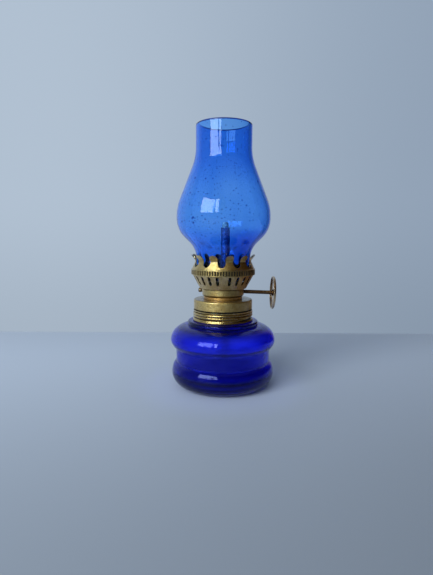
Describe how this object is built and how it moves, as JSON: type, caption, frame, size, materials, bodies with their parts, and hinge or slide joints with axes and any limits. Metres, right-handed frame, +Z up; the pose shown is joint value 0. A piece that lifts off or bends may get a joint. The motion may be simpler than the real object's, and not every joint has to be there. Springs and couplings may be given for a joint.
{
  "type": "oil lamp",
  "caption": "Miniature glass oil lamp: blown chimney in a pronged brass burner with a wick-winding knob, screwed into the brass collar of a two-ringed glass fount.",
  "frame": {"origin": "centre of the flat foot, on the surface the lamp stands on", "axes": "+Z up along the lamp's axis, +X towards the winding knob, -Y the front"},
  "size_m": [0.0498, 0.049, 0.12],
  "materials": {
    "fount_glass": "deep cobalt pressed glass",
    "chimney_glass": "medium blue blown glass with seeds",
    "brass": "aged satin brass",
    "collar_brass": "aged rolled brass",
    "winder_brass": "dull tarnished brass",
    "tube_brass": "heat-darkened brass",
    "washer": "black sealing washer",
    "cement": "lamp plaster",
    "wick_cotton": "braided cotton"
  },
  "bodies": {
    "base": {"fount": "fount_glass", "collar": "collar_brass", "collar_cement": "cement"},
    "washer": {"sealing_washer": "washer"},
    "burner": {"thread_ring": "brass", "burner_cap": "brass", "burner_drum": "brass", "air_basket": "brass", "crown": "brass", "diffuser_plate": "brass", "wick_tube": "tube_brass", "shaft_bracket": "brass"},
    "winder": {"winder_shaft": "winder_brass", "wick_wheel": "winder_brass", "knob": "winder_brass", "knob_collar": "winder_brass"},
    "wick": {"wick": "wick_cotton"},
    "chimney": {"chimney": "chimney_glass"}
  },
  "joints": [
    {"name": "burner_unscrew", "type": "hinge", "parent": "base", "child": "washer", "pos_m": [0, 0, 0.0361], "axis": [0, 0, 1], "range_deg": [0, 720]},
    {"name": "burner_rise", "type": "slide", "parent": "washer", "child": "burner", "axis": [0, 0, 1], "range_m": [0, 0.0025]},
    {"name": "knob_turn", "type": "hinge", "parent": "burner", "child": "winder", "pos_m": [0.0009, 0.0041, 0.04415], "axis": [0.9995, 0, -0.0314], "range_deg": [-145, 80]},
    {"name": "wick_feed", "type": "slide", "parent": "burner", "child": "wick", "axis": [0, 0, 1], "range_m": [-0.00328, 0.00595]},
    {"name": "chimney_lift", "type": "slide", "parent": "burner", "child": "chimney", "axis": [0, 0, 1], "range_m": [0, 0.03]}
  ],
  "couplings": [
    {"joint": "burner_rise", "follows": "burner_unscrew", "m_per_rad": 0.00019894},
    {"joint": "knob_turn", "follows": "wick_feed", "rad_per_m": -425.53}
  ]
}
